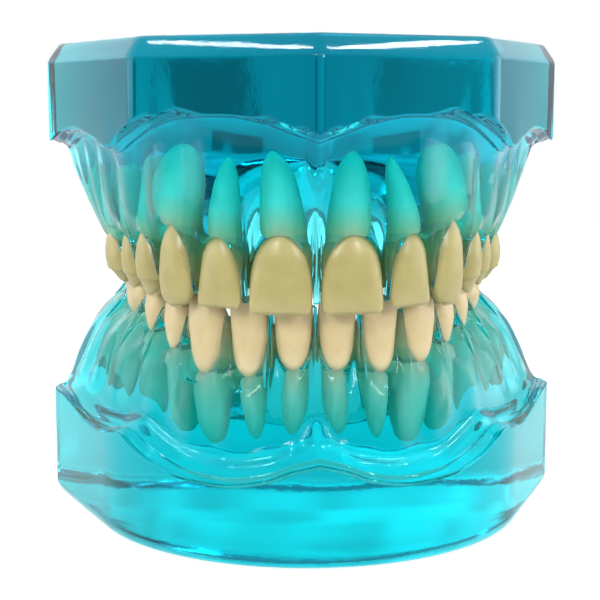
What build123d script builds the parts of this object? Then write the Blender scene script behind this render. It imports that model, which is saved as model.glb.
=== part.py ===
from build123d import *
import math
import os

# Clear-resin typodont: a lower and an upper jaw, each a cast base with fourteen teeth set in it.
# Millimetres. +Z is up, the incisors face -Y, and the patient's right side is at -X.
# The origin is on the resting face of the lower base, under the middle of the whole model.

# ---- driving dimensions -------------------------------------------------------------------
total_height = 69.3           # resting face to the flat top of the upper base
half_depth = 29.4             # front point and back face are this far from the origin
corner_x, corner_y = 39.2, 12.0      # widest corner of both bases, where the posterior cut starts
corner_rounding = 3.0         # radius of that upright corner
back_corner_x = 27.5          # where the posterior cut meets the flat back
canine_corner_x, canine_corner_y = 24.6, -17.5   # front corner of the pointed upper base
lower_front_radius = 32.4     # rounded front of the lower base

top_bevel_in, top_bevel_high = 1.7, 2.7
foot_bevel_in, foot_bevel_high = 0.8, 1.4

upper_corner_border_z = 54.4  # lowest level of the upper base's wall
lower_corner_border_z = 17.0  # highest level of the lower base's wall

arch_shape = 2.2              # superellipse exponent shared by every arch-shaped outline
contact_gap = 0.14            # between neighbouring crowns
section_points = 12           # points on a tooth's closed cross-section
outline_points = 13           # points on the curved part of an arch outline

# Tooth arches through the middle of the crowns: half width, depth, front y
upper_arch = (26.0, 45.0, -20.4)
lower_arch = (23.4, 42.9, -17.4)

# Ridge outlines from the base towards the crowns: level z, half width, front y
upper_ridge = ((60.0, 37.6, -24.2), (50.0, 35.4, -23.9), (43.5, 32.2, -24.2), (39.0, 30.4, -24.0))
lower_ridge = ((8.0, 37.6, -22.8), (18.0, 36.4, -22.5), (26.0, 33.2, -22.1), (31.5, 28.8, -21.6))
# Open space inside each ridge, in the same form, open to the back
palate_vault = ((38.0, 19.4, -15.6), (46.0, 17.4, -13.0), (51.5, 13.4, -9.0), (53.8, 8.0, -3.0))
tongue_space = ((33.0, 17.2, -13.8), (22.0, 16.4, -12.6), (14.6, 15.0, -11.0))

# The gum line falls towards the molars: level at the incisors and at the second molars
upper_gum_front_z, upper_gum_back_z = 43.0, 39.7
lower_gum_front_z, lower_gum_back_z = 25.2, 30.6
gum_slope_run = 36.0

space_overrun = 2.0           # how far ridge and space outlines run past the flat back

# Vestibule scoops that scallop the wall's border: centre x, centre y, facing angle from -Y,
# level at the middle of the arc, radius
upper_scoops = ((13.1, -22.9, 25.1, 59.5, 34.5), (33.0, 0.4, 64.8, 56.0, 41.0))
lower_scoops = ((14.3, -25.4, 27.0, 11.7, 39.7), (33.8, 1.0, 66.0, 15.2, 51.5))

# Teeth from the midline backwards:
# name, width along the arch, thickness, neck z, crown tip z, root tip z, kind
upper_teeth = (
    ("central_incisor", 8.6, 7.0, 43.3, 32.8, 54.3, "incisor"),
    ("lateral_incisor", 6.6, 6.2, 43.0, 33.3, 53.4, "incisor"),
    ("canine", 7.6, 7.8, 43.9, 32.6, 55.3, "canine"),
    ("first_premolar", 7.0, 8.8, 42.3, 33.3, 53.3, "premolar"),
    ("second_premolar", 6.8, 8.8, 41.8, 33.5, 53.0, "premolar"),
    ("first_molar", 10.4, 11.0, 40.8, 33.5, 52.4, "upper_molar"),
    ("second_molar", 9.8, 10.8, 40.2, 33.6, 52.2, "upper_molar"),
)
lower_teeth = (
    ("central_incisor", 5.3, 5.8, 25.0, 35.1, 15.0, "incisor"),
    ("lateral_incisor", 5.8, 6.0, 24.8, 35.1, 14.2, "incisor"),
    ("canine", 6.9, 7.2, 24.6, 34.8, 12.6, "canine"),
    ("first_premolar", 7.0, 7.6, 26.4, 34.8, 13.2, "premolar"),
    ("second_premolar", 7.2, 8.2, 27.3, 34.7, 13.6, "premolar"),
    ("first_molar", 11.2, 10.2, 29.0, 34.6, 14.6, "lower_molar"),
    ("second_molar", 10.6, 9.8, 30.0, 34.6, 15.0, "lower_molar"),
)

# Crown sections from the neck to the tip, and root sections from the neck to the apex:
# fraction of the height, of the width, of the thickness, and outward shift over the thickness
crown_sections = {
    "incisor": ((0.0, 0.80, 0.92, 0.0), (0.2, 0.90, 0.92, 0.05), (0.5, 0.98, 0.68, 0.20),
                (0.84, 0.99, 0.38, 0.36), (1.0, 0.88, 0.20, 0.43)),
    "canine": ((0.0, 0.80, 0.92, 0.0), (0.2, 0.90, 0.95, 0.04), (0.5, 0.99, 0.72, 0.16),
               (0.78, 0.92, 0.40, 0.31), (1.0, 0.30, 0.18, 0.37)),
    "premolar": ((0.0, 0.78, 0.90, 0.0), (0.4, 0.98, 1.0, 0.0), (0.7, 0.99, 0.92, 0.0), (1.0, 0.72, 0.60, 0.0)),
    "molar": ((0.0, 0.86, 0.90, 0.0), (0.4, 0.98, 1.0, 0.0), (0.7, 0.99, 0.94, 0.0), (1.0, 0.84, 0.62, 0.0)),
}
root_sections = ((0.0, 0.80, 0.92, 0.0), (0.4, 0.68, 0.78, -0.10), (0.8, 0.40, 0.48, -0.20),
                 (1.0, 0.12, 0.14, -0.26))
trunk_share = 0.24            # of a molar's root height before it divides
# Molar roots: shift along the arch and outward, width and thickness, as shares of the crown's
molar_roots = {
    "upper_molar": ((-0.22, 0.22, 0.40, 0.44), (0.24, 0.22, 0.36, 0.40), (0.0, -0.26, 0.48, 0.38)),
    "lower_molar": ((-0.24, 0.0, 0.40, 0.78), (0.24, 0.0, 0.38, 0.70)),
}
root_overlap = 1.4            # how far a root reaches up into its trunk
fissure_depth, fissure_half_width = 2.1, 2.8     # groove along the chewing surface


def arch_point(outline, angle):
    """Point on a superelliptical arch; angle 0 is the front and 90 degrees the back."""
    half_width, depth, front_y = outline
    power = 2.0 / arch_shape
    side = math.copysign(abs(math.sin(angle)) ** power, angle)
    return half_width * side, front_y + depth * (1.0 - abs(math.cos(angle)) ** power)


def arch_place(outline, distance):
    """Position and backward direction at a distance along the arch from the midline."""
    steps = 4000
    travelled = 0.0
    before = arch_point(outline, 0.0)
    for step in range(1, steps + 1):
        after = arch_point(outline, step * math.pi / 2 / steps)
        run = math.dist(before, after)
        travelled += run
        if travelled >= distance:
            return after, ((after[0] - before[0]) / run, (after[1] - before[1]) / run)
        before = after
    overrun = distance - travelled
    return (before[0], before[1] + overrun), (0.0, 1.0)


def arch_face(level, half_width, front_y, back_y):
    """Horizontal D-shaped face: an arch closed by a straight back."""
    outline = (half_width, back_y - front_y, front_y)
    points = []
    for index in range(outline_points):
        angle = math.pi * (index / (outline_points - 1) - 0.5)
        x, y = arch_point(outline, angle)
        points.append(Vector(x, y, level))
    front = Spline(*points)
    back = Line(points[-1], points[0])
    return Face(Wire([front, back]))


def arch_loft(levels, back_y):
    return loft([arch_face(level, half_width, front_y, back_y) for level, half_width, front_y in levels],
                ruled=True)


def rounded_corners(plan):
    """The plan with its two widest corners rounded."""
    widest = [vertex for vertex in plan.vertices() if abs(abs(vertex.X) - corner_x) < 0.01]
    return fillet(widest, corner_rounding)


def upper_outline():
    """Seven-sided plan with a point at the midline and cut posterior corners."""
    right = [(0, -half_depth), (canine_corner_x, canine_corner_y), (corner_x, corner_y),
             (back_corner_x, half_depth)]
    left = [(-x, y) for x, y in reversed(right[1:])]
    return rounded_corners(make_face(Polyline(*right, *left, close=True)))


def lower_outline():
    """Round front that runs tangent into flared sides, with cut posterior corners."""
    centre_y = lower_front_radius - half_depth
    reach = math.hypot(corner_x, corner_y - centre_y)
    turn = math.atan2(corner_y - centre_y, corner_x) - math.acos(lower_front_radius / reach)
    touch_x = lower_front_radius * math.cos(turn)
    touch_y = centre_y + lower_front_radius * math.sin(turn)
    front = ThreePointArc((-touch_x, touch_y), (0, -half_depth), (touch_x, touch_y))
    rest = Polyline((touch_x, touch_y), (corner_x, corner_y), (back_corner_x, half_depth),
                    (-back_corner_x, half_depth), (-corner_x, corner_y), (-touch_x, touch_y))
    return rounded_corners(make_face([front, rest]))


def scoop(centre_x, centre_y, facing, level, radius, above):
    """Cylinder lying along the facing direction, which hollows the wall to the given level."""
    length, overhang = 42.0, 16.0
    angle = math.radians(facing)
    outward = Vector(math.sin(angle), -math.cos(angle), 0)
    axis_level = level + radius if above else level - radius
    middle = Vector(centre_x, centre_y, axis_level) + outward * (overhang - length / 2)
    return Plane(origin=middle, z_dir=outward) * Cylinder(radius, length)


def both_sides(solid):
    return [solid, mirror(solid, about=Plane.YZ)]


def gum_trim(front_z, back_z, above):
    """Block that trims a ridge to its sloping gum line."""
    size = 200.0
    slope = math.degrees(math.atan2(back_z - front_z, gum_slope_run))
    shift = size / 2 if above else -size / 2
    line = Plane(origin=(0, upper_arch[2], front_z)).rotated((slope, 0, 0))
    return line * Pos(0, 0, shift) * Box(size, size, size)


def jaw_base(plinth, plan, scoops, ridge, trim, space, above):
    """Scalloped plinth with its gum ridge, kept inside the plan, and the open space within."""
    for numbers in scoops:
        for cutter in both_sides(scoop(*numbers, above)):
            plinth -= cutter
    gum = arch_loft(ridge, half_depth + space_overrun) - trim
    gum = gum & extrude(plan, total_height)
    return plinth + gum - arch_loft(space, half_depth + space_overrun)


def upper_base():
    wall_height = total_height - upper_corner_border_z
    plan = upper_outline()
    plinth = extrude(Pos(0, 0, upper_corner_border_z) * plan, wall_height)
    top_edges = plinth.edges().group_by(Axis.Z)[-1]
    plinth = chamfer(top_edges, top_bevel_in, top_bevel_high, reference=plinth.faces().sort_by(Axis.Z)[-1])
    trim = gum_trim(upper_gum_front_z, upper_gum_back_z, False)
    return jaw_base(plinth, plan, upper_scoops, upper_ridge, trim, palate_vault, False)


def lower_base():
    plan = lower_outline()
    plinth = extrude(plan, lower_corner_border_z)
    foot_edges = plinth.edges().group_by(Axis.Z)[0]
    plinth = chamfer(foot_edges, foot_bevel_in, foot_bevel_high, reference=plinth.faces().sort_by(Axis.Z)[0])
    trim = gum_trim(lower_gum_front_z, lower_gum_back_z, True)
    return jaw_base(plinth, plan, lower_scoops, lower_ridge, trim, tongue_space, True)


def section_face(place, direction, level, width, thickness, shift):
    """Closed oval across a tooth; width runs along the arch and the shift is outward."""
    along = Vector(direction[0], direction[1], 0)
    outward = Vector(direction[1], -direction[0], 0)
    centre = Vector(place[0], place[1], level) + outward * shift
    points = []
    for index in range(section_points):
        angle = 2 * math.pi * index / section_points
        side = math.copysign(abs(math.cos(angle)) ** 0.85, math.cos(angle)) * width / 2
        out = math.copysign(abs(math.sin(angle)) ** 0.85, math.sin(angle)) * thickness / 2
        points.append(centre + along * side + outward * out)
    return Face(Wire([Spline(*points, periodic=True)]))


def tooth(spec, place, direction):
    """Crown and root of one tooth on the +X side, as one solid."""
    name, width, thickness, neck_z, tip_z, root_z, kind = spec
    width -= contact_gap
    crown_high = tip_z - neck_z
    root_high = root_z - neck_z
    profile = crown_sections["molar" if kind in molar_roots else kind]
    last_root = trunk_share if kind in molar_roots else 1.0
    levels = [(neck_z + share * crown_high, w, t, s) for share, w, t, s in reversed(profile)]
    levels += [(neck_z + share * root_high, w, t, s) for share, w, t, s in root_sections[1:]
               if share <= last_root]
    if kind in molar_roots:
        levels.append((neck_z + trunk_share * root_high, 0.80, 0.84, 0.0))
    sections = [section_face(place, direction, level, w * width, t * thickness, s * thickness)
                for level, w, t, s in levels]
    body = loft(sections)
    if kind in molar_roots:
        body += [molar_root(spec, place, direction, root) for root in molar_roots[kind]]
    if kind in molar_roots or kind == "premolar":
        body -= fissure(place, direction, tip_z, math.copysign(1.0, crown_high))
    return body


def molar_root(spec, place, direction, root):
    name, width, thickness, neck_z, tip_z, root_z, kind = spec
    along, outward, root_width, root_thickness = root
    x = place[0] + direction[0] * along * width
    y = place[1] + direction[1] * along * width
    root_high = root_z - neck_z
    start = trunk_share - root_overlap / abs(root_high)
    shares = ((start, 0.8), (0.5, 0.95), (0.82, 0.66), (1.0, 0.2))
    faces = [section_face((x, y), direction, neck_z + share * root_high, size * root_width * width,
                          size * root_thickness * thickness, outward * thickness)
             for share, size in shares]
    return loft(faces)


def fissure(place, direction, tip_z, crownward):
    """V-shaped groove along the arch that leaves a row of cusps on each side."""
    depth = fissure_depth * crownward
    lip = 1.0 * crownward
    spread = fissure_half_width * (1 + 1.0 / fissure_depth)
    across = Plane(origin=(place[0], place[1], tip_z), x_dir=(direction[1], -direction[0], 0),
                   z_dir=(direction[0], direction[1], 0))
    rise = across.y_dir.Z
    triangle = Polyline((-spread, rise * lip), (spread, rise * lip), (0, -rise * depth), close=True)
    return extrude(across * make_face(triangle), 8.0, both=True)


def tooth_row(jaw, specs, arch):
    """Fourteen named teeth: each is built on the +X side and mirrored to the other."""
    row = {}
    distance = 0.0
    for spec in specs:
        place, direction = arch_place(arch, distance + spec[1] / 2)
        distance += spec[1]
        left_tooth = tooth(spec, place, direction)
        row[f"{jaw}_left_{spec[0]}"] = left_tooth
        row[f"{jaw}_right_{spec[0]}"] = mirror(left_tooth, about=Plane.YZ)
    return row


os.makedirs("parts", exist_ok=True)
for jaw, base, specs, arch in (("lower", lower_base(), lower_teeth, lower_arch),
                               ("upper", upper_base(), upper_teeth, upper_arch)):
    row = tooth_row(jaw, specs, arch)
    for solid in row.values():
        base -= solid
    export_step(base, f"parts/{jaw}_jaw_base.step")
    for name, solid in row.items():
        export_step(solid, f"parts/{name}.step")
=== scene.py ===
import math
import bmesh
import bpy
import numpy as np
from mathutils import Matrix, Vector

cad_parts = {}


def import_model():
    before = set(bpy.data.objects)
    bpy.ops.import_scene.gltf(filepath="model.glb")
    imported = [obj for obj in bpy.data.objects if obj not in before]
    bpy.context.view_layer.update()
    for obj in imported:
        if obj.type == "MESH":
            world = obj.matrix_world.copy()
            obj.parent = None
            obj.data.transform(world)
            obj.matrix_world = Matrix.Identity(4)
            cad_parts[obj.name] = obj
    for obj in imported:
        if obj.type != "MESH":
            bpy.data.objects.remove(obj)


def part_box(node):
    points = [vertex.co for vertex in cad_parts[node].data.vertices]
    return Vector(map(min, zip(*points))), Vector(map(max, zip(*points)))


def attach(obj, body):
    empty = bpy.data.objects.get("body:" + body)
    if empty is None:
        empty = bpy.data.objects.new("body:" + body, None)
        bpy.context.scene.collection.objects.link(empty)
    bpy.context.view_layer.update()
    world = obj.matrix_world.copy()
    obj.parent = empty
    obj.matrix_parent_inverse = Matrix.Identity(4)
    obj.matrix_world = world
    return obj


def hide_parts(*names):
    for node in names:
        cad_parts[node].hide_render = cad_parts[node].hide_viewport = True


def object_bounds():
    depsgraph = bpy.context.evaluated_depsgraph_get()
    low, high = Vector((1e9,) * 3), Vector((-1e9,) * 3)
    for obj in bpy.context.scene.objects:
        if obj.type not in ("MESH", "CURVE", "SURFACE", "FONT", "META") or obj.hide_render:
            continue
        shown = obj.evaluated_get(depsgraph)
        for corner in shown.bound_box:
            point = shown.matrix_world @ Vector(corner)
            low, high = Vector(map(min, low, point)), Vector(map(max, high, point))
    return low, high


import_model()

# A clear-resin typodont. Lengths below are millimetres in the CAD frame, and meshes are written in
# metres. +Z is up, the incisors face -Y, and the patient's right side is at -X.
# Both jaws are built in one "jaw space", where the flat of the base is at 0 and the crowns point
# up; the upper jaw is turned over when its mesh is written.

MM = 0.001
cad_low, cad_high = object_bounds()
total_height = cad_high.z / MM
half_depth = cad_high.y / MM
corner = (39.2, 12.0)         # widest corner of both bases, before it is rounded
back_corner = (27.5, half_depth)
canine_corner = (24.6, -17.5)
lower_front_radius = 32.4     # of the lower base's rounded front
plan_middle = (0.0, 4.0)      # bevels are cut towards this point
widest_rounding = 1.5         # how softly the widest corner is rounded
corner_rounding = 0.7         # and the wall's other upright corners
edge_rounding = 0.8           # and the wall's border and the bevel's edges
border_inset = 0.45           # how far inside the wall its rounded border ends
bevels = {"lower": (0.8, 1.4), "upper": (1.7, 2.7)}    # how far in and how high

arch_shape = 2.2              # power of the tooth arch's curve; 2 would be an ellipse
column_step = 0.3             # spacing of mesh columns along the arch
corner_reach = 0.5            # columns are closer together this far on both sides of a corner
contact_reach = 0.9           # and of the contact between two teeth
inner_rows = 120              # mesh rows from the border to the middle of the mouth
bisection_steps = 40
ring_segments = 56            # points round a tooth
root_heights = 25             # rings of a tooth below its neck
crown_heights = 30            # and from its neck upwards
crown_gap = 0.1               # left between neighbouring crowns


# ---- curves --------------------------------------------------------------------------------

def smooth(stations, values, at):
    """Monotone cubic through the given values, flat beyond the ends."""
    x = np.asarray(stations, float)
    y = np.asarray(values, float)
    at = np.clip(np.asarray(at, float), x[0], x[-1])
    gap = np.diff(x)
    slope = np.diff(y) / gap
    tangent = np.zeros_like(y)
    tangent[0], tangent[-1] = slope[0], slope[-1]
    same_way = slope[:-1] * slope[1:] > 0
    mean = 2 * slope[:-1] * slope[1:] / np.where(same_way, slope[:-1] + slope[1:], 1)
    tangent[1:-1] = np.where(same_way, mean, 0)
    i = np.clip(np.searchsorted(x, at, side="right") - 1, 0, len(gap) - 1)
    t = (at - x[i]) / gap[i]
    return (y[i] * (1 + 2 * t) * (1 - t) ** 2 + tangent[i] * gap[i] * t * (1 - t) ** 2
            + y[i + 1] * t * t * (3 - 2 * t) - tangent[i + 1] * gap[i] * t * t * (1 - t))


def ease(t):
    """Smooth step from 0 to 1."""
    t = np.clip(t, 0, 1)
    return t * t * (3 - 2 * t)


def b_spline(control, v):
    """Uniform cubic B-spline that starts and ends on its first and last control points.
    control is (rails, columns, 3) and v is (rows, columns), counted in rails."""
    first = 2 * control[:1] - control[1:2]
    last = 2 * control[-1:] - control[-2:-1]
    padded = np.concatenate([first, control, last])
    i = np.clip(np.floor(v).astype(int), 0, len(control) - 2)
    t = (v - i)[..., None]
    weights = ((1 - t) ** 3, 3 * t ** 3 - 6 * t * t + 4, 1 + 3 * t + 3 * t * t - 3 * t ** 3, t ** 3)
    column = np.arange(control.shape[1])[None, :]
    return sum(w * padded[i + j, column] for j, w in enumerate(weights)) / 6


class Arch:
    """Superelliptical tooth arch, followed by distance from the midline; negative is the right side."""

    def __init__(self, half_width, depth, front_y):
        angle = np.linspace(0, math.pi / 2, 6001)
        power = 2 / arch_shape
        self.x = half_width * np.sin(angle) ** power
        self.y = front_y + depth * (1 - np.cos(angle) ** power)
        self.x = np.append(self.x, half_width)
        self.y = np.append(self.y, self.y[-1] + 20)
        self.along = np.concatenate([[0], np.cumsum(np.hypot(np.diff(self.x), np.diff(self.y)))])

    def point(self, distance):
        """Plan point at a distance along the arch."""
        d = np.abs(distance)
        x = np.interp(d, self.along, self.x) * np.where(np.asarray(distance) < 0, -1, 1)
        return np.stack([x, np.interp(d, self.along, self.y)], -1)

    def outward(self, distance):
        """Unit vector out of the arch, towards the lips and cheeks."""
        step = self.point(np.asarray(distance) + 0.4) - self.point(np.asarray(distance) - 0.4)
        step /= np.linalg.norm(step, axis=-1, keepdims=True)
        return np.stack([step[..., 1], -step[..., 0]], -1)

    def length_to(self, y):
        """Distance along the arch at which it reaches this y."""
        return float(np.interp(y, self.y, self.along))


# ---- plan outlines -------------------------------------------------------------------------

def line_distance(points, start, end):
    """Signed distance outside the line from start to end, which has the plan on its left."""
    dx, dy = end[0] - start[0], end[1] - start[1]
    length = math.hypot(dx, dy)
    return ((points[..., 0] - start[0]) * dy - (points[..., 1] - start[1]) * dx) / length


def soft_max(a, b, rounding):
    """The larger of two values, blended where they are nearly the same."""
    closeness = np.maximum(rounding - np.abs(a - b), 0)
    return np.maximum(a, b) + closeness ** 2 / (4 * rounding)


def side_plan(points, front):
    """The +X side from the point called front to the back, with its widest corner rounded."""
    side = line_distance(points, front, corner)
    return soft_max(side, line_distance(points, corner, back_corner), widest_rounding)


def upper_plan(points):
    """Signed distance outside the seven-sided upper plan, without its back line."""
    halves = []
    for across in (1.0, -1.0):
        turned = points * np.array([across, 1.0])
        front = line_distance(turned, (0, -half_depth), canine_corner)
        halves.append(soft_max(front, side_plan(turned, canine_corner), corner_rounding))
    return soft_max(*halves, corner_rounding)


def lower_plan(points):
    """Signed distance outside the round-fronted lower plan, without its back line."""
    centre_y = lower_front_radius - half_depth
    reach = math.hypot(corner[0], corner[1] - centre_y)
    turn = math.atan2(corner[1] - centre_y, corner[0]) - math.acos(lower_front_radius / reach)
    touch = (lower_front_radius * math.cos(turn), centre_y + lower_front_radius * math.sin(turn))
    folded = np.stack([np.abs(points[..., 0]), points[..., 1] - centre_y], -1)
    round_part = np.hypot(folded[..., 0], folded[..., 1]) - lower_front_radius
    in_front = np.arctan2(folded[..., 1], folded[..., 0]) < turn
    return np.where(in_front, round_part, side_plan(folded + [0, centre_y], touch))


def inset(plan, points, amount):
    """Points of the wall moved straight towards the middle until they are this far inside it."""
    centre = np.array(plan_middle)
    low, high = np.zeros((len(points), 1)), np.ones((len(points), 1))
    for _ in range(bisection_steps):
        middle = (low + high) / 2
        moved = points + (centre - points) * middle
        outside = np.maximum(plan(moved), moved[:, 1] - half_depth)[:, None] > -amount
        low, high = np.where(outside, middle, low), np.where(outside, high, middle)
    return points + (centre - points) * (low + high) / 2


# ---- teeth: sizes along and across the arch -------------------------------------------------
# name, width, thickness, neck level, height of the gum's peak between teeth, root bulge in the gum,
# kind

upper_teeth = (
    ("central_incisor", 8.6, 7.0, 43.3, 9.2, 0.50, "upper_incisor"),
    ("lateral_incisor", 7.2, 6.4, 43.0, 8.8, 0.45, "upper_incisor"),
    ("canine", 7.6, 7.8, 43.9, 8.2, 0.95, "upper_canine"),
    ("first_premolar", 7.0, 8.8, 42.3, 5.2, 0.55, "premolar"),
    ("second_premolar", 6.8, 8.8, 41.8, 4.8, 0.50, "premolar"),
    ("first_molar", 10.4, 11.0, 40.8, 3.8, 0.55, "upper_molar"),
    ("second_molar", 9.8, 10.8, 40.2, 3.4, 0.45, "upper_molar"),
)
lower_teeth = (
    ("central_incisor", 5.3, 5.8, 25.0, 8.6, 0.45, "lower_incisor"),
    ("lateral_incisor", 5.8, 6.0, 24.8, 8.4, 0.45, "lower_incisor"),
    ("canine", 6.9, 7.2, 24.6, 7.8, 0.80, "lower_canine"),
    ("first_premolar", 7.0, 7.6, 26.4, 5.0, 0.55, "premolar"),
    ("second_premolar", 7.2, 8.2, 27.3, 4.4, 0.50, "premolar"),
    ("first_molar", 11.2, 10.2, 29.0, 3.2, 0.60, "lower_molar"),
    ("second_molar", 10.6, 9.8, 30.0, 2.6, 0.50, "lower_molar"),
)
# Listed teeth: how far a neck is off its row's level towards the crown, and how far a root's tip
# leans away from the midline, on the patient's right and left
neck_trims = {
    "upper": {"canine": (0.0, -0.5), "lateral_incisor": (0.2, -0.2)},
    "lower": {"central_incisor": (-0.2, -0.3), "lateral_incisor": (-1.2, -0.7), "canine": (-1.0, 0.2),
              "first_premolar": (-0.5, 0.0)},
}
root_leans = {
    "upper": {"central_incisor": (1.3, 0.7), "lateral_incisor": (0.1, -1.8), "canine": (0.3, -0.4)},
    "lower": {"central_incisor": (0.2, 0.5), "lateral_incisor": (0.1, 0.9), "canine": (0.2, -0.2)},
}

# Height from root tip (-1) through the neck (0) to the crown's tip (1), then width over the
# tooth's width, and the lip-side and tongue-side surfaces over its thickness
profiles = {
    "upper_incisor": ((-1.00, 0.06, -0.20, -0.28), (-0.95, 0.18, -0.12, -0.34), (-0.85, 0.32, 0.00, -0.40),
                      (-0.68, 0.45, 0.14, -0.46), (-0.40, 0.56, 0.28, -0.48), (-0.12, 0.64, 0.39, -0.48),
                      (0.00, 0.70, 0.43, -0.46), (0.07, 0.84, 0.48, -0.46), (0.14, 0.93, 0.51, -0.44),
                      (0.26, 0.985, 0.54, -0.38), (0.55, 0.995, 0.555, -0.12), (0.84, 0.985, 0.54, 0.18),
                      (0.95, 0.95, 0.52, 0.29), (1.00, 0.88, 0.51, 0.33)),
    "lower_incisor": ((-1.00, 0.08, -0.20, -0.28), (-0.95, 0.22, -0.12, -0.34), (-0.85, 0.36, 0.00, -0.40),
                      (-0.60, 0.50, 0.18, -0.46), (-0.30, 0.60, 0.33, -0.48), (0.00, 0.70, 0.43, -0.46),
                      (0.05, 0.84, 0.49, -0.46), (0.13, 0.94, 0.53, -0.42), (0.32, 0.985, 0.55, -0.28),
                      (0.68, 0.995, 0.55, 0.04), (0.88, 0.98, 0.53, 0.22), (1.00, 0.93, 0.51, 0.33)),
    "upper_canine": ((-1.00, 0.16, -0.12, -0.32), (-0.97, 0.46, 0.00, -0.40), (-0.90, 0.72, 0.12, -0.46),
                     (-0.75, 0.96, 0.26, -0.50), (-0.50, 1.04, 0.38, -0.52), (-0.22, 0.96, 0.44, -0.50),
                     (0.00, 0.80, 0.44, -0.46), (0.12, 0.90, 0.50, -0.47), (0.28, 0.99, 0.545, -0.40),
                     (0.55, 1.02, 0.55, -0.16), (0.80, 0.92, 0.51, 0.10), (0.93, 0.68, 0.47, 0.20),
                     (1.00, 0.36, 0.43, 0.28)),
    "lower_canine": ((-1.00, 0.14, -0.14, -0.32), (-0.96, 0.40, -0.04, -0.38), (-0.86, 0.62, 0.08, -0.44),
                     (-0.65, 0.80, 0.24, -0.48), (-0.35, 0.86, 0.36, -0.50), (0.00, 0.82, 0.46, -0.48),
                     (0.07, 0.92, 0.50, -0.47), (0.20, 1.02, 0.54, -0.40), (0.55, 1.06, 0.56, -0.12),
                     (0.82, 0.96, 0.52, 0.12), (1.00, 0.46, 0.44, 0.28)),
    "premolar": ((-1.00, 0.08, -0.18, -0.30), (-0.95, 0.26, -0.10, -0.38), (-0.80, 0.46, 0.04, -0.44),
                 (-0.50, 0.62, 0.22, -0.46), (-0.15, 0.68, 0.38, -0.46), (0.00, 0.70, 0.43, -0.45),
                 (0.20, 0.86, 0.48, -0.48), (0.45, 0.95, 0.50, -0.49), (0.72, 0.95, 0.47, -0.46)),
    "upper_molar": ((-0.34, 0.30, 0.16, -0.16), (-0.28, 0.66, 0.36, -0.36), (-0.18, 0.80, 0.41, -0.41),
                    (0.00, 0.83, 0.44, -0.44), (0.20, 0.91, 0.48, -0.48), (0.45, 0.96, 0.50, -0.50),
                    (0.72, 0.96, 0.47, -0.47)),
    "lower_molar": ((-0.30, 0.34, 0.20, -0.20), (-0.24, 0.70, 0.36, -0.36), (-0.16, 0.82, 0.41, -0.41),
                    (0.00, 0.84, 0.44, -0.44), (0.20, 0.92, 0.48, -0.48), (0.45, 0.97, 0.50, -0.49),
                    (0.72, 0.96, 0.46, -0.46)),
}
# How much further towards the crown the neck line runs at a tooth's sides
neck_curves = {"upper_incisor": 1.0, "lower_incisor": 0.4, "upper_canine": 1.2, "lower_canine": 0.6,
               "premolar": 0.7, "upper_molar": 0.6, "lower_molar": 0.5}
# Roots of molars: place along and across the arch, width and thickness, over the crown's
molar_roots = {
    "upper_molar": ((-0.23, 0.21, 0.42, 0.44), (0.24, 0.20, 0.38, 0.40), (0.02, -0.25, 0.50, 0.40)),
    "lower_molar": ((-0.25, 0.00, 0.42, 0.80), (0.25, 0.00, 0.40, 0.72)),
}
fissure_depth, fissure_half_width = 2.1, 2.8


def row_places(specs):
    """Distance of each tooth's middle from the midline along the arch."""
    widths = np.array([spec[1] for spec in specs])
    return np.cumsum(widths) - widths / 2


class Jaw:
    """Everything that differs between the lower and the upper jaw."""

    def __init__(self, name, arch, specs, plan, border, rails, spine_front, spine_levels):
        self.name = name
        self.turned_over = name == "upper"
        self.arch = arch
        self.specs = specs
        self.places = row_places(specs)
        self.plan = plan
        self.border = border
        self.rails = rails
        self.spine_front = spine_front
        self.spine_levels = spine_levels
        self.column_end = arch.length_to(half_depth)

    def level(self, z):
        """Height in jaw space of a CAD height, and the other way round."""
        return total_height - z if self.turned_over else z

    def between(self, s):
        """Which tooth a place along the arch belongs to, its share of the way to the contact, and how
        far it is past the last tooth, from 0 to 1."""
        edges = np.concatenate([[0], np.cumsum([spec[1] for spec in self.specs])])
        i = np.clip(np.searchsorted(edges, s, side="right") - 1, 0, len(self.specs) - 1)
        share = np.clip(np.abs(s - self.places[i]) / (np.diff(edges)[i] / 2), 0, 1)
        return i, share, ease((s - edges[-1]) / 3)

    def gum_line(self, s):
        """Level of the gum's edge: a dome over each tooth, and a thin high blade between teeth."""
        i, share, behind = self.between(np.abs(s))
        side = (np.sign(s) > 0).astype(int)
        necks = np.array([[self.level(spec[3]) + self.trim(spec[0], at) for at in (0, 1)]
                          for spec in self.specs])
        peaks = np.array([spec[4] for spec in self.specs])
        nearest = np.clip(i + np.where(np.abs(s) > self.places[i], 1, -1), 0, len(self.specs) - 1)
        contact = (necks[i, side] + peaks[i] + necks[nearest, side] + peaks[nearest]) / 2
        contact = np.where((i == 0) & (np.abs(s) < self.places[0]), necks[0].mean() + peaks[0], contact)
        rise = 1 - np.sqrt(1 - np.minimum(share / 0.9, 1) ** 2.4)
        line = necks[i, side] + (contact - necks[i, side]) * rise
        return line * (1 - behind) + (necks[-1, side] + 1.2) * behind

    def trim(self, tooth, side):
        """How far one tooth's neck is set off its row's level; side 0 is the patient's right."""
        return neck_trims[self.name].get(tooth, (0.0, 0.0))[side]

    def bulge(self, s):
        """How far each root pushes the gum outwards."""
        s = np.abs(s)
        total = np.zeros_like(s)
        for place, spec in zip(self.places, self.specs):
            near = np.clip(np.abs(s - place) / (spec[1] * 0.5), 0, 1)
            if spec[6] in molar_roots:
                near = np.clip(np.abs(np.abs(s - place) - spec[1] * 0.24) / (spec[1] * 0.26), 0, 1)
            total = np.maximum(total, spec[5] * (0.5 + 0.5 * np.cos(math.pi * near)))
        return total


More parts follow.
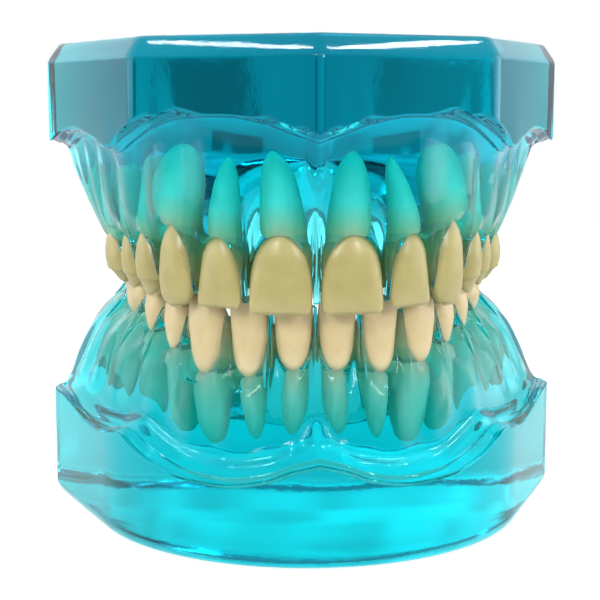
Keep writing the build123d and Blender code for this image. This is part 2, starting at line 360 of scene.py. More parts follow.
# Rails run along the arch, from outside the wall to the middle of the mouth. Each has its distance
# outside the tooth arch at four stations (midline, canine, second premolar, second molar), what
# its level follows, that level's offset or its values in front and behind, and its share of bulge.
stations_upper = (0.0, 19.0, 33.0, 52.0)
stations_lower = (0.0, 14.6, 28.6, 48.5)
upper_rails = (
    ((22.0, 24.0, 26.0, 30.0), "border", 0.0, 0.0, 0.0),
    ((12.0, 13.0, 14.0, 18.0), "border", 0.0, 0.0, 0.0),
    ((8.6, 9.6, 10.8, 14.2), "border", 0.1, 0.1, 0.0),
    ((7.8, 8.8, 10.0, 13.4), "border", -1.4, -0.8, 0.0),
    ((7.0, 8.1, 9.3, 12.7), "border", 1.1, 0.5, 0.0),
    ((6.3, 7.4, 8.7, 12.0), "border", -1.4, -0.7, 0.0),
    ((5.6, 6.7, 8.0, 11.4), "border", 1.4, 0.9, 0.0),
    ((4.9, 6.1, 7.4, 10.9), "border", 0.0, 0.1, 0.1),
    ((4.3, 5.5, 6.9, 10.4), "border", 1.9, 1.9, 0.2),
    ((3.8, 5.0, 6.5, 10.0), "border", 3.4, 3.4, 0.6),
    ((3.7, 4.8, 6.1, 8.8), "level", 20.0, 21.0, 1.0),
    ((3.8, 4.7, 5.6, 7.0), "level", 23.3, 25.2, 0.8),
    ((3.85, 4.4, 4.95, 5.8), "gum", -1.5, -1.5, 0.4),
    ((3.65, 4.1, 4.6, 5.5), "gum", -0.4, -0.4, 0.2),
    ((3.2, 3.6, 4.1, 4.9), "gum", 0.05, 0.05, 0.0),
    ((2.4, 2.6, 3.0, 3.6), "gum", -0.1, -0.1, 0.0),
    ((0.0, 0.0, 0.0, 0.0), "gum", -0.6, -0.6, 0.0),
    ((-2.4, -2.6, -3.0, -3.6), "gum", -0.3, -0.3, 0.0),
    ((-3.2, -3.5, -4.1, -4.9), "gum", -0.2, -0.2, 0.0),
    ((-3.7, -4.0, -4.7, -5.6), "gum", -0.9, -0.9, 0.2),
    ((-4.6, -4.9, -5.6, -6.5), "level", 24.6, 26.2, 0.2),
    ((-5.8, -6.2, -7.0, -7.8), "level", 22.0, 23.4, 0.0),
    ((-7.6, -8.0, -9.2, -9.6), "level", 19.4, 19.6, 0.0),
)
lower_rails = (
    ((24.0, 25.0, 27.0, 32.0), "border", 0.0, 0.0, 0.0),
    ((14.5, 15.0, 16.5, 20.0), "border", 0.0, 0.0, 0.0),
    ((11.6, 12.4, 14.1, 17.6), "border", 0.1, 0.1, 0.0),
    ((10.6, 11.4, 13.3, 16.9), "border", -2.1, -0.7, 0.0),
    ((9.6, 10.4, 12.5, 16.1), "border", 1.1, 0.1, 0.0),
    ((8.6, 9.5, 11.8, 15.5), "border", -2.4, -0.9, 0.0),
    ((7.4, 8.4, 11.0, 14.8), "border", 1.0, 0.3, 0.0),
    ((6.1, 7.2, 10.0, 14.0), "border", 1.1, 1.1, 0.1),
    ((5.2, 6.3, 9.2, 13.2), "border", 3.0, 3.0, 0.5),
    ((4.6, 5.6, 8.2, 11.9), "level", 19.0, 22.2, 1.0),
    ((4.1, 5.0, 7.0, 10.2), "level", 22.0, 26.0, 0.8),
    ((3.55, 4.2, 5.2, 7.4), "gum", -1.5, -1.5, 0.4),
    ((3.25, 3.85, 4.5, 6.0), "gum", -0.4, -0.4, 0.2),
    ((2.7, 3.3, 3.8, 4.7), "gum", 0.05, 0.05, 0.0),
    ((2.0, 2.3, 2.8, 3.4), "gum", -0.1, -0.1, 0.0),
    ((0.0, 0.0, 0.0, 0.0), "gum", -0.6, -0.6, 0.0),
    ((-2.0, -2.3, -2.8, -3.4), "gum", -0.3, -0.3, 0.0),
    ((-2.8, -3.3, -3.8, -4.6), "gum", -0.2, -0.2, 0.0),
    ((-3.3, -3.8, -4.3, -5.2), "gum", -0.9, -0.9, 0.2),
    ((-4.0, -4.6, -5.2, -6.2), "level", 22.4, 25.6, 0.2),
    ((-4.8, -5.4, -6.2, -7.2), "level", 18.8, 20.0, 0.0),
    ((-6.0, -6.6, -7.4, -8.2), "level", 15.6, 15.8, 0.0),
    ((-7.4, -8.0, -8.8, -9.6), "level", 14.9, 14.9, 0.0),
)
# The wall's border: level in jaw space by the angle seen from the middle, front to back
upper_border = ((0, 8, 16, 27, 42, 54, 63, 72, 81, 92, 101, 108, 137),
                (13.2, 12.0, 10.7, 9.8, 10.0, 11.6, 13.4, 15.1, 13.8, 12.9, 13.5, 14.7, 16.0))
lower_border = ((0, 7, 14, 26, 38, 48, 56, 64, 74, 86, 96, 106, 137),
                (14.5, 13.7, 12.4, 11.5, 11.8, 12.9, 14.3, 15.8, 15.0, 14.9, 15.5, 16.8, 17.5))

# Last come the y where the middle line of the inner surface starts, and the levels on the way to it
upper_jaw = Jaw("upper", Arch(26.0, 45.0, -20.4), upper_teeth, upper_plan, upper_border,
                (stations_upper, upper_rails), -8.0, (16.2, 15.6, 15.4))
lower_jaw = Jaw("lower", Arch(23.4, 42.9, -17.4), lower_teeth, lower_plan, lower_border,
                (stations_lower, lower_rails), -6.5, (14.7, 14.6, 14.6))


# ---- jaw bases -----------------------------------------------------------------------------

def jaw_columns(jaw):
    """Distances along the arch of the mesh columns, closer together at the wall's corners."""
    s = np.arange(0, jaw.column_end, column_step)
    corners = [corner] + ([canine_corner] if jaw.turned_over else [])
    for x, y in corners:
        fine = np.linspace(0, jaw.column_end, 4000)
        to_corner = np.array([x, y]) - jaw.arch.point(fine)
        normal = jaw.arch.outward(fine)
        off_line = np.abs(to_corner[:, 0] * normal[:, 1] - to_corner[:, 1] * normal[:, 0])
        off_line[(to_corner * normal).sum(1) < 0] = 99
        at = fine[np.argmin(off_line)]
        near = np.linspace(-corner_reach, corner_reach, 15)
        s = np.concatenate([s[np.abs(s - at) > corner_reach], at + near])
    contacts = np.concatenate([[0], np.cumsum([spec[1] for spec in jaw.specs])[:-1]])
    for at in contacts:
        near = np.linspace(-contact_reach, contact_reach, 19)
        s = np.concatenate([s[np.abs(s - at) > contact_reach], at + near])
    s = np.unique(np.append(s[(s > 0.02) & (s < jaw.column_end - 0.1)], [0, jaw.column_end]))
    s = s[np.append(True, np.diff(s) > 0.02)]
    return np.concatenate([-s[:0:-1], s])


def rail_points(jaw, s):
    """Control points of every column, (rails, columns, 3), in jaw space."""
    stations, rails = jaw.rails
    base = jaw.arch.point(s)
    normal = jaw.arch.outward(s)
    base[s == jaw.column_end, 1] = half_depth
    back = 1 - ease((jaw.column_end - np.abs(s)) / 4)
    level_across = np.stack([np.sign(s), np.zeros_like(s)], -1)
    normal = normal * (1 - back[:, None]) + level_across * back[:, None]
    normal /= np.linalg.norm(normal, axis=1, keepdims=True)
    wall_spot = base + normal * 9
    angle = np.degrees(np.arctan2(np.abs(wall_spot[:, 0]), -wall_spot[:, 1]))
    border = smooth(*jaw.border, angle)
    gum = jaw.gum_line(s)
    bulge = jaw.bulge(s)
    _, share, behind = jaw.between(np.abs(s))
    blade = ease((share - 0.45) / 0.55) * (1 - behind)
    rearward = ease(np.abs(s) / stations[-1])
    midline_fold = 0.9 * np.exp(-s ** 2)      # the lip's frenum
    control = []
    for offsets, follows, front, rear, bulge_share in rails:
        out = smooth(stations, offsets, np.abs(s)) + bulge * bulge_share
        if follows == "gum":
            out = out * (1 - 0.30 * blade)
        shift = front + (rear - front) * rearward
        level = {"border": border, "gum": gum, "level": 0.0}[follows] + shift
        if follows == "border" and offsets[0] < 7:
            out = out + midline_fold
        control.append(np.column_stack([base + normal * out[:, None], level + 0 * s]))
    spine_y = jaw.spine_front + (half_depth - jaw.spine_front) * (np.abs(s) / jaw.column_end) ** 1.25
    spine = np.stack([0 * s, spine_y], -1)
    last = control[-1]
    for share, level in zip((0.34, 0.68, 1.0), jaw.spine_levels):
        xy = last[:, :2] * (1 - share) + spine * share
        control.append(np.column_stack([xy, level + 0 * s]))
    return np.stack(control)


def where_at(jaw, control, distance):
    """For each column, the place along it where it is this far outside the wall."""
    low = np.zeros((1, control.shape[1]))
    high = low + len(control) - 1.0
    for _ in range(bisection_steps):
        middle = (low + high) / 2
        outside = jaw.plan(b_spline(control, middle)[..., :2]) > distance
        low, high = np.where(outside, middle, low), np.where(outside, high, middle)
    return (low + high) / 2


def rounded(before, at, after, steps=4):
    """Rings that turn a corner at the ring called at, starting and ending a short way from it."""
    rings = []
    for ring in (before, after):
        span = np.linalg.norm(ring - at, axis=1, keepdims=True)
        rings.append(at + (ring - at) * np.minimum(edge_rounding / np.maximum(span, 1e-9), 0.45))
    start, end = rings
    turn = np.linspace(0, 1, steps)
    return [start * (1 - t) ** 2 + at * 2 * t * (1 - t) + end * t * t for t in turn]


def ring_at(points, level):
    """A level ring through plan points."""
    return np.column_stack([points, np.full(len(points), level)])


def write_mesh(name, vertices, faces, sharp_angle, slots=None):
    """Mesh object in metres, with welded points, outward normals and smooth shading."""
    mesh = bpy.data.meshes.new(name)
    mesh.from_pydata((np.asarray(vertices) * MM).tolist(), [], faces)
    if slots:
        mesh.polygons.foreach_set("material_index", slots)
    welded = bpy.data.objects.new(name, mesh)
    bpy.context.scene.collection.objects.link(welded)
    shape = bmesh.new()
    shape.from_mesh(mesh)
    bmesh.ops.remove_doubles(shape, verts=shape.verts, dist=0.002 * MM)
    bmesh.ops.dissolve_degenerate(shape, edges=shape.edges, dist=0.0005 * MM)
    bmesh.ops.recalc_face_normals(shape, faces=shape.faces)
    if shape.calc_volume(signed=True) < 0:
        bmesh.ops.reverse_faces(shape, faces=shape.faces)
    shape.to_mesh(mesh)
    shape.free()
    mesh.shade_smooth()
    mesh.set_sharp_from_angle(angle=math.radians(sharp_angle))
    return welded


def jaw_base(jaw):
    """Cast base with its bevel, wall, scalloped border, gutter, gum ridge and inner space."""
    bevel_in, bevel_high = bevels[jaw.name]
    s = jaw_columns(jaw)
    control = rail_points(jaw, s)
    v_wall = where_at(jaw, control, 0.0)
    v_in = where_at(jaw, control, -border_inset)
    wall_top = b_spline(control, v_wall)[0]
    inside = b_spline(control, v_in)[0]
    wall = wall_top[:, :2].copy()
    wall[[0, -1]] = [[-back_corner[0], half_depth], back_corner]
    wall_top[:, :2] = wall
    flat_edge = inset(jaw.plan, wall, bevel_in)
    further = inset(jaw.plan, wall, bevel_in + 1.0)
    rings = rounded(ring_at(further, 0.0), ring_at(flat_edge, 0.0), ring_at(wall, bevel_high))
    rings += rounded(ring_at(flat_edge, 0.0), ring_at(wall, bevel_high), ring_at(wall, bevel_high + 1.0))
    closed_rings = len(rings)
    below_border = wall_top - [0, 0, 1.0]
    rings += rounded(below_border, wall_top, inside)
    share = np.linspace(0, 1, inner_rows)[1:, None]
    rings += list(b_spline(control, v_in + (len(control) - 1 - v_in) * share))
    count = len(s)
    vertices = np.concatenate(rings)
    if jaw.turned_over:
        vertices[:, 2] = total_height - vertices[:, 2]
    faces = []
    for r in range(len(rings) - 1):
        a, b = r * count, (r + 1) * count
        faces += [(a + c, a + c + 1, b + c + 1, b + c) for c in range(count - 1)]
        if r < closed_rings - 1:
            faces.append((a + count - 1, a, b, b + count - 1))
    faces.append(tuple(range(count)))
    back_rings = range(closed_rings - 1, len(rings))
    faces.append(tuple([r * count + count - 1 for r in back_rings]
                       + [r * count for r in reversed(back_rings)]))
    return write_mesh(f"{jaw.name}_base_resin", vertices, faces, 34)


# ---- teeth ---------------------------------------------------------------------------------

def fissured(kind, a, b, width):
    """How far the chewing surface lies below the cusp tips, across the crown."""
    across = np.clip(np.abs(b) / fissure_half_width, 0, 1)
    valley = fissure_depth * (0.5 + 0.5 * np.cos(math.pi * across)) ** 0.85
    if kind == "premolar":
        saddle = 1.3 * (2 * a / width) ** 2
        pits = 0.35 * np.exp(-(b / 0.4) ** 2)
    else:
        saddle = 0.75 * np.cos(2 * math.pi * a / width) ** 2
        pits = 0.35 * np.exp(-(b / 0.45) ** 2) + 0.4 * np.exp(-(a / 0.45) ** 2)
    return valley + saddle + pits


def outline_ring(width, lip, tongue, squareness):
    """Closed oval in the tooth's own axes, a backwards along the arch and b outwards, and the angle
    of each point."""
    angle = np.linspace(0, 2 * math.pi, ring_segments, endpoint=False)
    power = 2 / squareness
    a = np.sign(np.cos(angle)) * np.abs(np.cos(angle)) ** power * width / 2
    b = np.sign(np.sin(angle)) * np.abs(np.sin(angle)) ** power * (lip - tongue) / 2 + (lip + tongue) / 2
    return a, b, angle


def tooth_rings(spec, neck, tip, root, lean):
    """Rings of (a, b, level) from the root tip, or the trunk, up to the middle of the crown."""
    width, thickness, kind = spec[1], spec[2], spec[6]
    keys = np.array(profiles[kind])
    has_table = kind == "premolar" or kind in molar_roots
    below = np.linspace(keys[0, 0], 0, root_heights + 1)[:-1]
    rings = []
    for h in np.concatenate([below, np.linspace(0, keys[-1, 0], crown_heights)]):
        scale = [float(smooth(keys[:, 0], keys[:, i], h)) for i in (1, 2, 3)]
        squareness = 2.0 + 0.5 * float(ease((h + 0.1) / 0.5)) * (1.0 if has_table else 0.3)
        w = scale[0] * (width - crown_gap)
        a, b, angle = outline_ring(w, scale[1] * thickness, scale[2] * thickness, squareness)
        level = neck + h * (tip - neck if h > 0 else neck - root)
        neck_curve = neck_curves[kind] * np.cos(angle) ** 2 * math.exp(-(h / 0.3) ** 2)
        collar = 0.10 * float(ease(h / 0.03)) * math.exp(-max(h, 0) / 0.25)
        grow = 1 + collar / (thickness / 2)
        tip_lean = lean * max(-h, 0) ** 1.6
        rings.append(np.column_stack([a * grow + tip_lean, b * grow, level + neck_curve]))
    middle_b = (scale[1] + scale[2]) / 2 * thickness
    if has_table:
        return rings + chewing_table(kind, width, rings[-1], middle_b, tip)
    return biting_edge(rings, middle_b, tip, abs(tip - neck) * 0.045)


def chewing_table(kind, width, rim, middle_b, tip):
    """Rings from the crown's rim inwards, over its cusps and fissures."""
    rings = []
    for q in np.linspace(0, 1, 16)[1:-1]:
        a = rim[:, 0] * (1 - q)
        b = rim[:, 1] * (1 - q) + middle_b * q
        table = tip - fissured(kind, a, b, width)
        mix = ease(q / 0.34)
        rings.append(np.column_stack([a, b, rim[:, 2] * (1 - mix) + table * mix]))
    return rings


def biting_edge(rings, middle_b, tip, drop):
    """The same rings with the top ones levelled, closed over a rounded biting edge."""
    rim = rings[-1]
    for ring in rings[-3:]:
        ring[:, 2] = np.minimum(ring[:, 2], tip - drop)
    for q in (0.3, 0.55, 0.75, 0.9):
        lift = drop * math.sqrt(1 - (1 - q) ** 2)
        a = rim[:, 0] * (1 - 0.18 * q * q)
        b = middle_b + (rim[:, 1] - middle_b) * (1 - q)
        rings.append(np.column_stack([a, b, rim[:, 2] * 0 + tip - drop + lift]))
    return rings


def root_rings(spec, neck, root, place):
    """Rings of one tapering molar root, from its tip up into the trunk."""
    width, thickness = spec[1], spec[2]
    along, across, root_width, root_thickness = place
    rings = []
    for t in np.linspace(0, 1, 24):
        size = float(smooth((0, 0.06, 0.25, 0.6, 0.85, 1.0), (0.08, 0.32, 0.62, 0.92, 1.0, 0.9), t))
        a, b, _ = outline_ring(root_width * width * size, root_thickness * thickness * size / 2,
                               -root_thickness * thickness * size / 2, 2.0)
        level = root + t * (neck - root) * 0.84
        lean = 1 + 0.10 * (1 - t) ** 2
        rings.append(np.column_stack([a + along * width * lean, b + across * thickness, 0 * a + level]))
    return rings


def add_tube(rings, vertices, faces):
    """Adds a closed stack of rings, capped at both ends."""
    start = sum(len(v) for v in vertices)
    vertices += rings
    n = ring_segments
    for r in range(len(rings) - 1):
        a, b = start + r * n, start + (r + 1) * n
        faces += [(a + c, a + (c + 1) % n, b + (c + 1) % n, b + c) for c in range(n)]
    faces.append(tuple(range(start + n - 1, start - 1, -1)))
    top = start + (len(rings) - 1) * n
    faces.append(tuple(range(top, top + n)))


def make_tooth(jaw, spec, distance, side):
    """One tooth on one side, and its node's name; side is -1 for the patient's right."""
    name = f"{jaw.name}_{'left' if side > 0 else 'right'}_{spec[0]}"
    at = 1 if side > 0 else 0
    lean = root_leans[jaw.name].get(spec[0], (0.0, 0.0))[at]
    neck = jaw.level(spec[3]) + jaw.trim(spec[0], at)
    heights = [jaw.level(z / MM) for z in (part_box(name)[0].z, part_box(name)[1].z)]
    root, tip = reversed(heights) if jaw.turned_over else heights
    vertices, faces = [], []
    add_tube(tooth_rings(spec, neck, tip, root, lean), vertices, faces)
    in_crown = [0] * len(faces)
    for index in list(range(root_heights * ring_segments, len(faces) - 2)) + [len(faces) - 1]:
        in_crown[index] = 1
    for place in molar_roots.get(spec[6], ()):
        add_tube(root_rings(spec, neck, root, place), vertices, faces)
    in_crown += [0] * (len(faces) - len(in_crown))
    local = np.concatenate(vertices)
    base = jaw.arch.point(np.array(distance))
    outward = jaw.arch.outward(np.array(distance))
    along = np.array([-outward[1], outward[0]])
    xy = base + local[:, :1] * along + local[:, 1:2] * outward
    points = np.column_stack([xy[:, 0] * side, xy[:, 1], jaw.level(local[:, 2])])
    tooth = write_mesh(name + "_shape", points, faces, 60, in_crown)
    stored = tooth.data.attributes.new("crown_height", "FLOAT", "POINT")
    for vertex, value in zip(tooth.data.vertices, stored.data):
        value.value = (jaw.level(vertex.co.z / MM) - neck) / (tip - neck)
    return name, tooth


# ---- materials -----------------------------------------------------------------------------

def new_material(name):
    """New material with only a Principled shader and its output."""
    material = bpy.data.materials.new(name)
    material.use_nodes = True
    tree = material.node_tree
    tree.nodes.clear()
    output = tree.nodes.new("ShaderNodeOutputMaterial")
    shader = tree.nodes.new("ShaderNodeBsdfPrincipled")
    tree.links.new(shader.outputs["BSDF"], output.inputs["Surface"])
    return material, tree, shader, output


def noise(tree, scale, detail, roughness=0.5):
    """Noise texture in the piece's own coordinates."""
    place = tree.nodes.new("ShaderNodeTexCoord")
    texture = tree.nodes.new("ShaderNodeTexNoise")
    texture.inputs["Scale"].default_value = scale
    texture.inputs["Detail"].default_value = detail
    texture.inputs["Roughness"].default_value = roughness
    tree.links.new(place.outputs["Object"], texture.inputs["Vector"])
    return texture


def ramp(tree, source, stops):
    """Colours by position along a source value."""
    node = tree.nodes.new("ShaderNodeValToRGB")
    while len(node.color_ramp.elements) < len(stops):
        node.color_ramp.elements.new(0.5)
    for element, (position, colour) in zip(node.color_ramp.elements, stops):
        element.position = position
        element.color = (*colour, 1)
    tree.links.new(source, node.inputs["Fac"])
    return node


def bump(tree, shader, source, strength, distance):
    """Fine relief from a source value."""
    node = tree.nodes.new("ShaderNodeBump")
    node.inputs["Strength"].default_value = strength
    node.inputs["Distance"].default_value = distance
    tree.links.new(source, node.inputs["Height"])
    tree.links.new(node.outputs["Normal"], shader.inputs["Normal"])


def tint(tree, shader, shade, mottle):
    """Base colour from one ramp multiplied by another."""
    mix = tree.nodes.new("ShaderNodeMix")
    mix.data_type = "RGBA"
    mix.blend_type = "MULTIPLY"
    mix.inputs["Factor"].default_value = 1
    tree.links.new(shade.outputs["Color"], mix.inputs["A"])
    tree.links.new(mottle.outputs["Color"], mix.inputs["B"])
    tree.links.new(mix.outputs["Result"], shader.inputs["Base Color"])


def range_of(tree, source, low, high):
    """A source value from 0 to 1, mapped to the range low to high."""
    node = tree.nodes.new("ShaderNodeMapRange")
    node.inputs["To Min"].default_value = low
    node.inputs["To Max"].default_value = high
    tree.links.new(source, node.inputs["Value"])
    return node


def resin(name, colour, density):
    """Clear cast resin, tinted through its depth, with a faintly wavy polished surface."""
    material, tree, shader, output = new_material(name)
    shader.inputs["Base Color"].default_value = (1, 1, 1, 1)
    shader.inputs["Transmission Weight"].default_value = 1
    shader.inputs["IOR"].default_value = 1.5
    shader.inputs["Specular Tint"].default_value = (0.24, 0.24, 0.24, 1)
    waves = noise(tree, 170, 6, 0.62)
    roughness = range_of(tree, noise(tree, 60, 3).outputs["Fac"], 0.0, 0.03)
    tree.links.new(roughness.outputs["Result"], shader.inputs["Roughness"])
    bump(tree, shader, waves.outputs["Fac"], 0.10, 0.0004)
    absorb = tree.nodes.new("ShaderNodeVolumeAbsorption")
    absorb.inputs["Color"].default_value = (*colour, 1)
    absorb.inputs["Density"].default_value = density
    tree.links.new(absorb.outputs["Volume"], output.inputs["Volume"])
    return material


def enamel(name, body, edge, neck):
    """Glossy ivory crown resin: warmer at the neck, paler at the biting edge, slightly mottled."""
    material, tree, shader, _ = new_material(name)
    height = tree.nodes.new("ShaderNodeAttribute")
    height.attribute_name = "crown_height"
    shade = ramp(tree, height.outputs["Fac"],
                 ((0.0, neck), (0.10, neck), (0.32, body), (0.75, body), (1.0, edge)))
    mottle = ramp(tree, noise(tree, 420, 4).outputs["Fac"],
                  ((0.3, (0.90, 0.88, 0.84)), (0.7, (1.0, 1.0, 1.0))))
    tint(tree, shader, shade, mottle)
    roughness = range_of(tree, noise(tree, 900, 3).outputs["Fac"], 0.30, 0.48)
    tree.links.new(roughness.outputs["Result"], shader.inputs["Roughness"])
    bump(tree, shader, noise(tree, 650, 3).outputs["Fac"], 0.12, 0.0002)
    shader.inputs["Subsurface Weight"].default_value = 0.35
    shader.inputs["Subsurface Radius"].default_value = (1.0, 0.75, 0.45)
    shader.inputs["Subsurface Scale"].default_value = 0.002
    shader.inputs["Coat Weight"].default_value = 0.10
    shader.inputs["Coat Roughness"].default_value = 0.2
    shader.inputs["IOR"].default_value = 1.54
    return material


def root_resin(name, line, neck, body):
    """Satin root with faint lengthwise streaks, and a thin line where it meets the crown."""
    material, tree, shader, _ = new_material(name)
    height = tree.nodes.new("ShaderNodeAttribute")
    height.attribute_name = "crown_height"
    depth = range_of(tree, height.outputs["Fac"], 1.0, 0.0)
    depth.inputs["From Min"].default_value = -1
    depth.inputs["From Max"].default_value = 0
    shade = ramp(tree, depth.outputs["Result"],
                 ((0.0, line), (0.015, line), (0.03, neck), (0.4, body), (1.0, body)))
    streaks = noise(tree, 260, 4)
    mottle = ramp(tree, streaks.outputs["Fac"], ((0.25, (0.86, 0.88, 0.86)), (0.75, (1.0, 1.0, 1.0))))
    tint(tree, shader, shade, mottle)
    shader.inputs["Roughness"].default_value = 0.45
    bump(tree, shader, streaks.outputs["Fac"], 0.15, 0.0003)
    return material


# ---- the object ----------------------------------------------------------------------------

# Both jaws are one resin; the upper copy is tinted deeper and absorbs more, painted shade for the floor
# light that brightens only the lower base
resins = {"lower": resin("lower_clear_resin", (0.0, 0.957, 0.971), 220.0),
          "upper": resin("upper_clear_resin", (0.0, 0.915, 0.94), 270.0)}
# Both rows are the same ivory; the upper crowns are set darker than the lower, painted shade that offsets
# the stronger lamp light on them
enamels = {"lower": enamel("lower_enamel", (0.62, 0.50, 0.27), (0.61, 0.51, 0.30), (0.68, 0.57, 0.34)),
           "upper": enamel("upper_enamel", (0.40, 0.35, 0.13), (0.44, 0.385, 0.18), (0.45, 0.40, 0.17))}
# The roots of both rows are one pale material; the upper roots turn bright cyan towards their tips,
# painted light for the light reaching them through the resin
roots = {"lower": root_resin("lower_root", (0.40, 0.44, 0.32), (0.94, 0.76, 0.53), (0.96, 0.82, 0.66)),
         "upper": root_resin("upper_root", (0.62, 0.64, 0.40), (0.80, 0.72, 0.40), (0.30, 1.0, 0.86))}

for jaw in (lower_jaw, upper_jaw):
    base = jaw_base(jaw)
    base.data.materials.append(resins[jaw.name])
    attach(base, f"{jaw.name}_jaw")
    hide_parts(f"{jaw.name}_jaw_base")
    for distance, spec in zip(jaw.places, jaw.specs):
        for side in (-1, 1):
            node, tooth = make_tooth(jaw, spec, distance, side)
            tooth.data.materials.append(roots[jaw.name])
            tooth.data.materials.append(enamels[jaw.name])
            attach(tooth, f"{jaw.name}_jaw")
            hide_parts(node)


# ---- floor, light and camera ---------------------------------------------------------------

def floor():
    """Pale disc under the model, reaching further behind it, dimmer to the resin than to the camera."""
    mesh = bpy.data.meshes.new("floor")
    count, radius, centre_y, level = 96, 0.42, 0.08, -0.0002
    turns = [2 * math.pi * i / count for i in range(count)]
    ring = [(radius * math.sin(turn), radius * math.cos(turn) + centre_y, level) for turn in turns]
    mesh.from_pydata(ring, [], [tuple(reversed(range(count)))])
    plane = bpy.data.objects.new("floor", mesh)
    bpy.context.scene.collection.objects.link(plane)
    material, tree, shader, _ = new_material("pale_floor")
    shader.inputs["Base Color"].default_value = (0.45, 0.45, 0.45, 1)
    shader.inputs["Roughness"].default_value = 0.7
    shader.inputs["Specular IOR Level"].default_value = 0.2
    shader.inputs["Emission Color"].default_value = (1, 1, 1, 1)
    seen = tree.nodes.new("ShaderNodeLightPath")
    glow = range_of(tree, seen.outputs["Is Camera Ray"], 0.38, 0.75)
    tree.links.new(glow.outputs["Result"], shader.inputs["Emission Strength"])
    plane.data.materials.append(material)


def softbox(name, location, target, width, height, power):
    """Rectangular lamp turned towards a target; metres and watts."""
    data = bpy.data.lights.new(name, "AREA")
    data.shape = "RECTANGLE"
    data.size, data.size_y = width, height
    data.energy = power
    lamp = bpy.data.objects.new(name, data)
    lamp.location = location
    lamp.rotation_euler = (Vector(target) - Vector(location)).to_track_quat("-Z", "Y").to_euler()
    bpy.context.scene.collection.objects.link(lamp)


def camera():
    """Close camera a little to the patient's right, tilted down to centre the model."""
    distance, height = 207.2 * MM, 61.1 * MM
    azimuth, pitch, turn = (math.radians(angle) for angle in (-3.17, 8.12, 2.87))
    sensor_width, focal_length = 36, 84.882
    data = bpy.data.cameras.new("camera")
    data.sensor_width = sensor_width
    data.lens = focal_length
    data.clip_start = 0.01
    lens = bpy.data.objects.new("camera", data)
    lens.location = (math.sin(azimuth) * distance, -math.cos(azimuth) * distance, height)
    lens.rotation_euler = (math.pi / 2 - pitch, 0, -turn)
    bpy.context.scene.collection.objects.link(lens)
    bpy.context.scene.camera = lens


# Soft bright patches at the sides: where they are, how wide they spread, and how bright they are
side_lights = (((0.96, 0.28, 0.05), 0.84, 0.98, 4.0), ((-0.99, 0.0, 0.12), 0.87, 0.98, 3.2),
               ((0.99, 0.0, 0.12), 0.87, 0.98, 3.4))
# Upright panels behind the jaws: sideways place of both edges, and how bright they are. Both have
# the same foot and top, just under and over the horizon.
dark_panels = ((0.190, 0.247, 0.52), (-0.139, -0.071, 0.57))
panel_heights = (-0.045, 0.06)


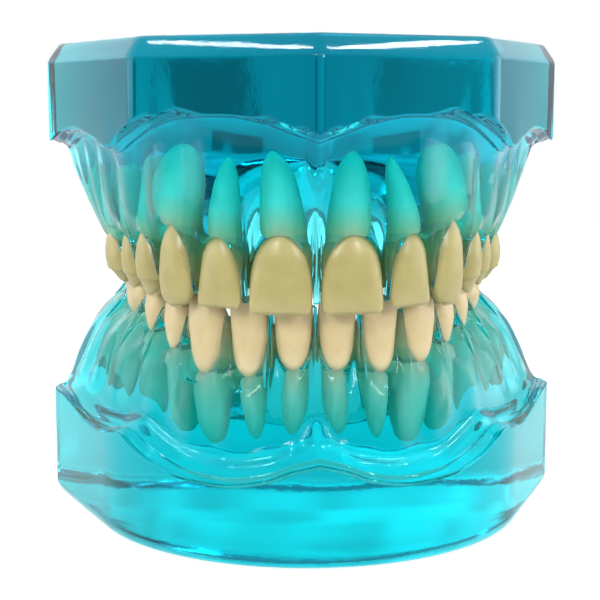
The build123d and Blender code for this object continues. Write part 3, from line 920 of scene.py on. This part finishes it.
def world():
    """Studio seen through the resin: bright behind and above, most on the patient's right, with
    soft side lights and two darker upright panels, dim in front, and softly uneven like the walls
    of a room. The camera itself sees plain white."""
    studio = bpy.data.worlds.new("studio")
    studio.use_nodes = True
    tree = studio.node_tree
    background = tree.nodes["Background"]
    background.inputs["Color"].default_value = (1, 1, 1, 1)
    direction = tree.nodes.new("ShaderNodeTexCoord").outputs["Generated"]

    def toward(aim, low, high, dim, bright):
        """Light that grows from dim to bright as the view turns towards an aim."""
        along = tree.nodes.new("ShaderNodeVectorMath")
        along.operation = "DOT_PRODUCT"
        along.inputs[1].default_value = Vector(aim).normalized()
        tree.links.new(direction, along.inputs[0])
        part = tree.nodes.new("ShaderNodeMapRange")
        part.interpolation_type = "SMOOTHSTEP"
        for name, value in (("From Min", low), ("From Max", high), ("To Min", dim), ("To Max", bright)):
            part.inputs[name].default_value = value
        tree.links.new(along.outputs["Value"], part.inputs["Value"])
        return part.outputs["Result"]

    def combined(operation, a, b):
        """One value from two."""
        node = tree.nodes.new("ShaderNodeMath")
        node.operation = operation
        tree.links.new(a, node.inputs[0])
        tree.links.new(b, node.inputs[1])
        return node.outputs["Value"]

    def panel(left, right, low, high, shade):
        """A darker upright panel on the horizon, as a factor on the light."""
        part, blur = None, 0.006
        for aim, edges in (((1, 0, 0), (left, right)), ((0, 0, 1), (low, high))):
            for edge, sign in zip(edges, (1, -1)):
                side = toward(aim, edge - blur, edge + blur, (1 - sign) / 2, (1 + sign) / 2)
                part = side if part is None else combined("MULTIPLY", part, side)
        factor = tree.nodes.new("ShaderNodeMapRange")
        factor.inputs["To Min"].default_value = 1.0
        factor.inputs["To Max"].default_value = shade
        tree.links.new(part, factor.inputs["Value"])
        return factor.outputs["Result"]

    level = combined("MULTIPLY", toward((0, 1, 0), -0.4, 0.2, 0.25, 0.84),
                     toward((0, 0, 1), 0.04, 0.22, 1.0, 1.55))
    light = combined("MAXIMUM", level, toward((0, 0, 1), 0.2, 0.6, 0.1, 1.1))
    for aim, low, high, bright in side_lights:
        light = combined("MAXIMUM", light, toward(aim, low, high, 0.1, bright))
    light = combined("MULTIPLY", light, toward((-0.55, 0.83, 0.0), 0.3, 0.95, 0.72, 1.12))
    stretched = tree.nodes.new("ShaderNodeMapping")
    stretched.inputs["Scale"].default_value = (1, 1, 0.4)
    tree.links.new(direction, stretched.inputs["Vector"])
    uneven = tree.nodes.new("ShaderNodeTexNoise")
    uneven.inputs["Scale"].default_value = 7.0
    uneven.inputs["Detail"].default_value = 1.0
    tree.links.new(stretched.outputs["Vector"], uneven.inputs["Vector"])
    spread = tree.nodes.new("ShaderNodeMapRange")
    for name, value in (("From Min", 0.36), ("From Max", 0.64), ("To Min", 0.80), ("To Max", 1.14)):
        spread.inputs[name].default_value = value
    tree.links.new(uneven.outputs["Fac"], spread.inputs["Value"])
    light = combined("MULTIPLY", light, spread.outputs["Result"])
    for left, right, shade in dark_panels:
        light = combined("MULTIPLY", light, panel(left, right, *panel_heights, shade))
    path = tree.nodes.new("ShaderNodeLightPath")
    light = combined("MAXIMUM", light, path.outputs["Is Camera Ray"])
    tree.links.new(light, background.inputs["Strength"])
    bpy.context.scene.world = studio


floor()
world()
middle = (0, 0, total_height * MM / 2)
softbox("bevel_left", (-0.334, -0.108, 0.567), middle, 0.13, 0.025, 0.5)
softbox("bevel_right", (0.386, -0.066, 0.534), middle, 0.13, 0.025, 0.5)
softbox("front_left", (-0.32, -0.50, 0.34), middle, 0.10, 0.20, 1.8)
softbox("front_right", (0.36, -0.48, 0.30), middle, 0.10, 0.20, 1.6)
camera()
scene = bpy.context.scene
scene.view_settings.view_transform = "Standard"
scene.cycles.max_bounces = 24
scene.cycles.transmission_bounces = 20
scene.cycles.glossy_bounces = 8
